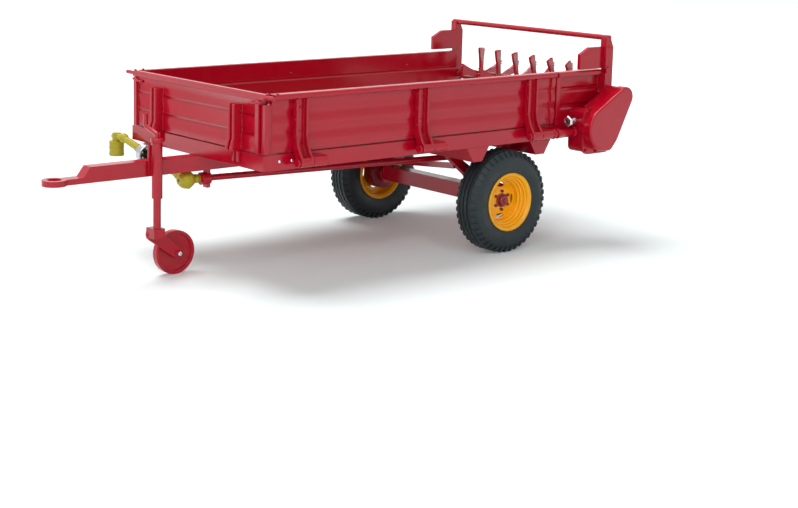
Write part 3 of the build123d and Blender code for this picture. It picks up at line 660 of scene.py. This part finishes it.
clutch_ring = turned_ring(
    48,
    (
        (1.95, 0.75),
        (2.05, 1.0),
        (2.3, 1.0),
        (2.42, 0.85),
        (2.42, -0.85),
        (2.3, -1.0),
        (0.9, -1.0),
        (0.9, -0.2),
        (1.95, -0.2),
    ),
)
ring = copy_to(clutch_ring, clutch_middle, shaft_turn)
settle(ring, "clutch_ring", "chassis", grey_steel)
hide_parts("pto_clutch")
clutch_core = turned_ring(
    40, ((0.9, 0.0), (1.2, 0.55), (1.7, 0.55), (1.9, 0.3), (1.9, -0.15), (0.9, -0.15))
)
core = copy_to(clutch_core, clutch_middle, shaft_turn)
settle(core, "clutch_core", "chassis", black_plastic)
stud_circle = 1.45
studs = []
for step in range(6):
    turn = math.radians(60 * step + 20)
    spot = Vector((stud_circle * math.cos(turn), 0.55, stud_circle * math.sin(turn)))
    studs.append((clutch_middle + shaft_turn @ spot, -shaft_line))
fasten(small_rivet, "clutch_studs", studs, "chassis", bright_steel)

# collars where the hinge tube enters its knuckle and the gear case
tube_low, tube_high = box_mm("hinge_tube")
tube_middle = (tube_low + tube_high) / 2
along_x = Vector((1, 0, 0)).to_track_quat("Y", "Z")
collar = turned_ring(
    28, ((1.0, -0.35), (1.25, -0.35), (1.35, -0.2), (1.35, 0.2), (1.25, 0.35), (1.0, 0.35))
)
collars = []
for x in (tube_high.x - 0.4, tube_high.x - 1.9, tube_low.x + 0.8):
    collars.append(copy_to(collar, (x, tube_middle.y, tube_middle.z), along_x))
settle(join_pieces(collars), "hinge_tube_collars", "chassis", red_paint)

# the gear case's filler plug
plug_spots = [((front_x - 100.2, 30.4, 35.5), (0, 0, 1))]
fasten(bolt, "gear_filler_plug", plug_spots, "chassis", red_paint)

# ---------------------------------------------------------------- pressed boards
groove_levels = (35.75, 40.05)
rail_z = box_mm("left_board")[1].z - 1.3
end_strip = 1.4
strip_out = 0.5
lip_out = 1.2
near_level = 0.01

# rise from a groove's level, and depth: the groove in the outer face and the seam in the inner one
groove_shape = (
    (-2.0, 0.0),
    (-1.3, 0.06),
    (-0.8, 0.15),
    (-0.4, 0.28),
    (0.0, 0.34),
    (0.4, 0.28),
    (0.8, 0.15),
    (1.3, 0.06),
    (2.0, 0.0),
)
seam_shape = ((-0.4, 0.0), (0.0, 0.32), (0.4, 0.0))


def side_board_shape(side, sign):
    """A side board of three planks, rolled from one sheet, with a lip along its top."""
    low, high = box_mm(f"{side}_board")
    outer = sign * board_outer
    inner = sign * board_inner
    strip_x = low.x + end_strip
    piece = box_start(
        Vector((low.x, min(outer, inner), low.z)), Vector((high.x, max(outer, inner), high.z))
    )
    cut_level((0, 0, rail_z), (0, 0, 1))
    cut_level((strip_x, 0, 0), (1, 0, 0))
    for level in groove_levels:
        for rise, _ in groove_shape:
            cut_level((0, 0, level + rise), (0, 0, 1))
    for level in groove_levels:
        for face_y, shape, inward in ((outer, groove_shape, -sign), (inner, seam_shape, sign)):
            for rise, depth in shape:
                pick_corners(
                    piece,
                    lambda place: abs(place.z - level - rise) < near_level
                    and abs(place.y - face_y) < near_level,
                )
                if depth:
                    bpy.ops.transform.translate(value=(0, inward * depth * MM, 0))
    pick_faces(
        piece,
        lambda middle, facing: facing.y * sign > 0.5 and middle.z < rail_z and middle.x < strip_x,
    )
    bpy.ops.mesh.extrude_region_move(TRANSFORM_OT_translate={"value": (0, sign * strip_out * MM, 0)})
    pick_faces(piece, lambda middle, facing: facing.y * sign > 0.9 and middle.z > rail_z)
    bpy.ops.mesh.extrude_region_move(TRANSFORM_OT_translate={"value": (0, sign * lip_out * MM, 0)})
    bpy.ops.mesh.bevel(offset=0.3 * MM, segments=3, affect="EDGES")
    bpy.ops.mesh.select_all(action="SELECT")
    bpy.ops.mesh.remove_doubles(threshold=weld_gap * MM)
    bpy.ops.mesh.normals_make_consistent(inside=False)
    bpy.ops.object.mode_set(mode="OBJECT")
    return piece


for side, sign in (("left", 1), ("right", -1)):
    pressed = side_board_shape(side, sign)
    settle(pressed, f"{side}_pressed_board", f"{side}_side", red_paint, 30.0)
    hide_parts(f"{side}_board")

# the front board, pressed from one sheet, with a thick post at each end
front_half = 26.2
front_foot = 31.6
front_t = 1.0
post_inner = front_half - 1.3
pressed_end = post_inner - 0.5
front_groove = (
    (-0.72, 0.0),
    (-0.68, 0.35),
    (-0.32, 0.35),
    (-0.28, 0.0),
    (0.28, 0.0),
    (0.32, 0.35),
    (0.68, 0.35),
    (0.72, 0.0),
)


def front_board_shape():
    """The front board: three planks, with two fine grooves between each and the next."""
    piece = box_start(
        Vector((front_x - front_t, -front_half, front_foot)), Vector((front_x, front_half, rail_z))
    )
    for sign in (1, -1):
        cut_level((0, sign * post_inner, 0), (0, 1, 0))
        cut_level((0, sign * pressed_end, 0), (0, 1, 0))
    for level in groove_levels:
        for rise, _ in front_groove:
            cut_level((0, 0, level + rise), (0, 0, 1))
    for level in groove_levels:
        for face_x, inward in ((front_x, -1), (front_x - front_t, 1)):
            for rise, depth in front_groove:
                pick_corners(
                    piece,
                    lambda place: abs(place.z - level - rise) < near_level
                    and abs(place.x - face_x) < near_level
                    and abs(place.y) < pressed_end + near_level,
                )
                if depth:
                    bpy.ops.transform.translate(value=(inward * depth * MM, 0, 0))
    for ahead, out in ((1, 0.5), (-1, -1.0)):
        pick_faces(
            piece, lambda middle, facing: facing.x * ahead > 0.9 and abs(middle.y) > post_inner
        )
        bpy.ops.mesh.extrude_region_move(TRANSFORM_OT_translate={"value": (out * MM, 0, 0)})
    bpy.ops.object.mode_set(mode="OBJECT")
    return piece


front_stake_top = 41.95
front_stake_foot = 28.9
front_stake_depth = 2.0
front_stake_half = 1.3
sunk = 0.4
slot_half = 0.4
bend_starts = 34.2
swell_z = 32.6
swell_ends = 31.6
lug_top = 31.2


def front_stake_shape(middle_y):
    """A front stake: a deep channel whose foot swells out and ends in two narrow lugs."""
    piece = box_start(
        Vector((front_x - sunk, middle_y - front_stake_half, front_stake_foot)),
        Vector((front_x + front_stake_depth, middle_y + front_stake_half, front_stake_top)),
    )
    for level in (bend_starts, swell_z, swell_ends, lug_top):
        cut_level((0, 0, level), (0, 0, 1))
    for edge in (-slot_half, slot_half):
        cut_level((0, middle_y + edge, 0), (0, 1, 0))
    steps = ((swell_z, 0.5), (swell_ends, 0.6), (lug_top, -1.2), (front_stake_foot, -1.2))
    for level, out in steps:
        pick_corners(
            piece,
            lambda place: abs(place.z - level) < near_level
            and place.x > front_x + front_stake_depth / 2,
        )
        bpy.ops.transform.translate(value=(out * MM, 0, 0))
    slots = ((lug_top, front_stake_top, -1.4), (front_stake_foot, lug_top, -0.6))
    for low_z, high_z, inward in slots:
        pick_faces(
            piece,
            lambda middle, facing: facing.x > 0.5
            and low_z < middle.z < high_z
            and abs(middle.y - middle_y) < slot_half,
        )
        bpy.ops.mesh.extrude_region_move(TRANSFORM_OT_translate={"value": (inward * MM, 0, 0)})
    bpy.ops.mesh.select_all(action="SELECT")
    bpy.ops.mesh.normals_make_consistent(inside=False)
    bpy.ops.object.mode_set(mode="OBJECT")
    rounded = piece.modifiers.new("rounded", "BEVEL")
    rounded.width = 0.12 * MM
    rounded.segments = 2
    rounded.limit_method = "ANGLE"
    apply_modifier(piece, rounded)
    return piece


front_board_parts = [front_board_shape()]
for middle_y in (17.8, -14.9):
    front_board_parts.append(front_stake_shape(middle_y))
front_pressed = join_pieces(front_board_parts)
settle(front_pressed, "front_pressed_board", "chassis", red_paint, 30.0)
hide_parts("front_board")

# ---------------------------------------------------------------- small parts at the front
# the jack's crank, a bent rod, and the collar it turns in, with knobs round the collar
jack_top = box_mm("jack_tube")[1].z
crank_low, crank_high = box_mm("jack_crank")
crank_x = (crank_low.x + crank_high.x) / 2
jack_y = 3.0
handle_y = crank_low.y + 0.5
crank_route = (
    (crank_x, jack_y, jack_top - 0.2),
    (crank_x, jack_y, jack_top + 1.1),
    (crank_x, jack_y - 0.5, jack_top + 1.5),
    (crank_x, handle_y + 0.9, jack_top + 2.3),
    (crank_x, handle_y, jack_top + 2.7),
    (crank_x, handle_y, jack_top + 3.6),
    (crank_x, handle_y, crank_high.z),
)
crank = bent_rod(crank_route, 0.55)
settle(crank, "crank_handle", "chassis", red_paint, 50.0)
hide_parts("jack_crank")
upright = Vector((0, 0, 1)).to_track_quat("Y", "Z")
jack_collar = turned_ring(
    28, ((0.6, -0.5), (1.35, -0.5), (1.5, -0.35), (1.5, 0.25), (1.3, 0.5), (0.6, 0.6))
)
top_collar = copy_to(jack_collar, (crank_x, jack_y, jack_top - 0.1), upright)
settle(top_collar, "jack_top_collar", "chassis", red_paint)
collar_spots = []
knob_circle = 1.4
for step in range(4):
    turn = math.radians(90 * step + 20)
    out = Vector((math.cos(turn), math.sin(turn), 0))
    knob_place = Vector((crank_x, jack_y, jack_top - 0.25)) + knob_circle * out
    collar_spots.append((knob_place, out))
fasten(small_rivet, "jack_collar_knobs", collar_spots, "chassis", red_paint)

# latch levers under the front rail's two ends
latch_x = front_x + 0.35
latches = []
latch_spots = []
for sign in (1, -1):
    latch_route = (
        (latch_x, sign * 26.6, 42.9),
        (latch_x, sign * 25.4, 43.0),
        (latch_x, sign * 24.4, 42.6),
        (latch_x, sign * 23.5, 42.6),
        (latch_x, sign * 22.6, 42.6),
    )
    latches.append(bent_rod(latch_route, 0.28))
    latch_spots.append(((latch_x - 0.2, sign * 26.5, 42.9), (1, 0, 0)))
    latch_spots.append(((latch_x - 0.2, sign * 22.8, 42.6), (1, 0, 0)))
settle(join_pieces(latches), "corner_latches", "chassis", red_paint, 50.0)
fasten(rivet, "latch_knobs", latch_spots, "chassis", red_paint)

# knobs on the rails: one at each end of the front rail, and one at the front of each side's
board_top = box_mm("left_board")[1].z
corner_spots = []
for sign in (1, -1):
    corner_spots.append(((front_x - 0.9, sign * 27.6, board_top), (0, 0, 1)))
fasten(rivet, "rail_corner_knobs", corner_spots, "chassis", red_paint)
for side, sign in (("left", 1), ("right", -1)):
    side_spots = [((front_x - 3.4, sign * 28.0, board_top), (0, 0, 1))]
    fasten(rivet, f"{side}_rail_knob", side_spots, f"{side}_side", red_paint)

# bright steel heads in the frame's front holes: a painted highlight standing in for the light seen through
# the holes
hole_spots = []
for back in (4.4, 7.8):
    for sign in (1, -1):
        hole_spots.append(((front_x - back, sign * 27.55, 29.7), (0, sign, 0)))
fasten(rivet, "frame_hole_glints", hole_spots, "chassis", bright_steel)

# the yellow guard: a ribbed bell round the joint, a boot out of it, a bare shaft, and a tube to its outer end
joint_place = Vector((front_x + 1.6, -1.0, 21.8))
shaft_end = Vector((front_x + 1.5, -29.2, 27.9))
outward_turn = shaft_line.to_track_quat("Y", "Z")
joint_bell = turned_ring(
    36,
    (
        (0.4, -3.7),
        (0.95, -3.7),
        (1.0, -3.0),
        (1.12, -2.9),
        (1.12, -2.6),
        (1.02, -2.5),
        (1.1, -1.9),
        (1.5, -1.7),
        (1.85, -1.2),
        (2.05, -0.6),
        (2.2, -0.55),
        (2.2, -0.2),
        (2.08, -0.15),
        (2.08, 0.3),
        (1.9, 0.9),
        (1.6, 1.35),
        (1.5, 1.35),
        (1.1, 1.9),
        (0.4, 2.05),
    ),
)
guards = [copy_to(joint_bell, joint_place, along_x)]
joint_boot = turned_ring(
    32,
    (
        (0.3, 0.5),
        (1.2, 1.2),
        (1.1, 2.4),
        (1.2, 2.6),
        (1.0, 3.2),
        (1.1, 3.4),
        (0.9, 4.0),
        (0.85, 9.0),
        (0.3, 9.0),
    ),
)
guards.append(copy_to(joint_boot, joint_place, outward_turn))
guard_end = (shaft_end - clutch_middle).length
shaft_guard = turned_ring(
    32,
    (
        (0.3, 1.0),
        (1.35, 1.0),
        (1.4, 1.3),
        (1.1, 1.9),
        (1.2, 2.0),
        (1.2, 2.3),
        (1.05, 2.4),
        (1.0, 3.3),
        (1.1, 3.4),
        (1.1, 3.7),
        (0.92, 3.8),
        (0.85, guard_end - 1.2),
        (1.0, guard_end - 1.1),
        (1.0, guard_end - 0.4),
        (0.3, guard_end - 0.3),
    ),
)
guards.append(copy_to(shaft_guard, clutch_middle, outward_turn))
guard = join_pieces(guards)
settle(guard, "drive_shaft_guard", "chassis", guard_yellow)
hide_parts("pto_guard")
bare = [joint_place + shaft_line * step for step in (8.0, 10.5, 13.0, 15.5, 18.5)]
settle(bent_rod(bare, 0.5), "bare_drive_shaft", "chassis", black_plastic)
bell_low, bell_high = box_mm("pto_bell")
bell_x = (bell_low.x + bell_high.x) / 2
bell_y = bell_low.y + 1.85
bell_ring = turned_ring(36, ((1.7, -0.15), (1.9, -0.15), (1.95, 0.0), (1.9, 0.15), (1.7, 0.15)))
bell_rings = []
for z in (23.6, 25.2, 26.4):
    bell_rings.append(copy_to(bell_ring, (bell_x, bell_y, z), upright))
settle(join_pieces(bell_rings), "bell_rings", "chassis", guard_yellow)

# ---------------------------------------------------------------- small parts at the wheels and the rear
# a bright nut in front of the drive pin, and a bright pin at the jockey wheel
pin_low, pin_high = box_mm("gear_pin")
pin_middle = (pin_low + pin_high) / 2
nut_place = (pin_high.x + 0.2, pin_middle.y, pin_middle.z)
nut_ring = turned_ring(
    6, ((0.6, -0.5), (1.35, -0.5), (1.45, -0.3), (1.45, 0.3), (1.3, 0.5), (0.6, 0.5))
)
nut_core = turned_ring(20, ((0.2, -0.45), (0.62, -0.45), (0.62, 0.35), (0.35, 0.55), (0.2, 0.45)))
nut = copy_to(nut_ring, nut_place, along_x)
settle(nut, "drive_pin_nut", "chassis", bright_steel, 20.0)
core = copy_to(nut_core, nut_place, along_x)
settle(core, "drive_pin_core", "chassis", black_plastic)
jockey_low, jockey_high = box_mm("jockey_wheel")
jockey_middle = (jockey_low + jockey_high) / 2
pin_spots = [((jockey_middle.x, 2.0, jockey_middle.z), (0, 1, 0))]
fasten(bolt, "jockey_pin", pin_spots, "jack", bright_steel)

# the angle that closes the rear panel to its post
angle_low = Vector((front_x - 109.6, 26.6, 39.4))
angle_high = Vector((front_x - 107.4, 27.5, 44.4))
angle = box_start(angle_low, angle_high)
inner_taper = (0.6, 1, 0.9)
taper_about = Vector((angle_high.x, 0, 42))
pick_faces(angle, lambda middle, facing: facing.y < -0.9)
bpy.ops.transform.resize(value=inner_taper, center_override=taper_about * MM)
bpy.ops.mesh.select_all(action="SELECT")
bpy.ops.mesh.bevel(offset=0.12 * MM, segments=2, affect="EDGES")
bpy.ops.object.mode_set(mode="OBJECT")
settle(angle, "rear_panel_angle", "chassis", red_paint)

# rivets in the posts' outer faces
post_x = front_x - 109.3
post_y = box_mm("rear_posts")[1].y
post_spots = []
for sign in (1, -1):
    for z in (37.0, 45.4, 50.6):
        post_spots.append(((post_x, sign * post_y, z), (0, sign, 0)))
fasten(small_rivet, "post_rivets", post_spots, "chassis", red_paint)

for template in templates:
    bpy.data.objects.remove(template)


# ---------------------------------------------------------------- studio
def lamp(name, size, energy, spot, aim):
    """A round panel lamp at a place, turned towards another. Its lengths are metres, its energy watts."""
    data = bpy.data.lights.new(name, "AREA")
    data.shape = "DISK"
    data.size = size
    data.energy = energy
    panel = bpy.data.objects.new(name, data)
    bpy.context.scene.collection.objects.link(panel)
    aim_line = Vector(aim) - Vector(spot)
    panel.location = spot
    panel.rotation_euler = aim_line.to_track_quat("-Z", "Y").to_euler()


model_middle = (0.0, 0.0, 0.02)
lamp("top_panel", 0.5, 5.2, (0.05, -0.2, 0.7), model_middle)
lamp("front_panel", 0.6, 2.4, (0.6, 0.5, 0.5), model_middle)
lamp("glint_panel", 0.08, 0.5, (0.15, 0.55, 0.55), model_middle)


def plain_view(tree):
    """1 for rays from the camera, in a reflection or through glass, and 0 for the rest."""
    rays = tree.nodes.new("ShaderNodeLightPath")
    either = tree.nodes.new("ShaderNodeMath")
    either.operation = "MAXIMUM"
    tree.links.new(rays.outputs["Is Camera Ray"], either.inputs[0])
    tree.links.new(rays.outputs["Is Glossy Ray"], either.inputs[1])
    any_of = tree.nodes.new("ShaderNodeMath")
    any_of.operation = "MAXIMUM"
    tree.links.new(either.outputs["Value"], any_of.inputs[0])
    tree.links.new(rays.outputs["Is Transmission Ray"], any_of.inputs[1])
    return any_of.outputs["Value"]


# The room's light is bright round the horizon and dimmer overhead. Seen or reflected, it is plain white.
world = bpy.data.worlds.new("studio")
bpy.context.scene.world = world
world.use_nodes = True
sky = world.node_tree
background = sky.nodes["Background"]
background.inputs["Color"].default_value = (1, 1, 1, 1)
direction = sky.nodes.new("ShaderNodeTexCoord")
height = sky.nodes.new("ShaderNodeSeparateXYZ")
sky.links.new(direction.outputs["Generated"], height.inputs["Vector"])
room = sky.nodes.new("ShaderNodeMapRange")
room.inputs["From Min"].default_value = 0.05
room.inputs["From Max"].default_value = 0.55
room.inputs["To Min"].default_value = 0.7
room.inputs["To Max"].default_value = 0.25
sky.links.new(height.outputs["Z"], room.inputs["Value"])
strength = sky.nodes.new("ShaderNodeMix")
strength.inputs["B"].default_value = 1.0
sky.links.new(plain_view(sky), strength.inputs["Factor"])
sky.links.new(room.outputs["Result"], strength.inputs["A"])
sky.links.new(strength.outputs["Result"], background.inputs["Strength"])

bpy.ops.mesh.primitive_plane_add(size=6.0, location=(0, 0, 0))
floor = bpy.context.object
floor.name = "studio_floor"
floor_material, floor_tree, floor_shader, floor_where = new_material("studio_floor")
floor_shader.inputs["Base Color"].default_value = (0.79, 0.862, 0.866, 1)
floor_shader.inputs["Roughness"].default_value = 0.8
floor_shader.inputs["Emission Color"].default_value = (1, 1, 1, 1)
# The floor whitens outwards from the model where it is seen, and the shadow stays under the model.
distance = floor_tree.nodes.new("ShaderNodeVectorMath")
distance.operation = "LENGTH"
floor_tree.links.new(floor_where, distance.inputs[0])
whiten = floor_tree.nodes.new("ShaderNodeMapRange")
whiten.interpolation_type = "SMOOTHSTEP"
whiten.inputs["From Min"].default_value = 0.08
whiten.inputs["From Max"].default_value = 0.32
whiten.inputs["To Min"].default_value = 0.1
whiten.inputs["To Max"].default_value = 0.6
floor_tree.links.new(distance.outputs["Value"], whiten.inputs["Value"])
seen = floor_tree.nodes.new("ShaderNodeMath")
seen.operation = "MULTIPLY"
floor_tree.links.new(whiten.outputs["Result"], seen.inputs[0])
floor_tree.links.new(plain_view(floor_tree), seen.inputs[1])
floor_tree.links.new(seen.outputs["Value"], floor_shader.inputs["Emission Strength"])
floor.data.materials.append(floor_material)
bpy.ops.object.select_all(action="DESELECT")

bpy.context.scene.view_settings.view_transform = "Standard"
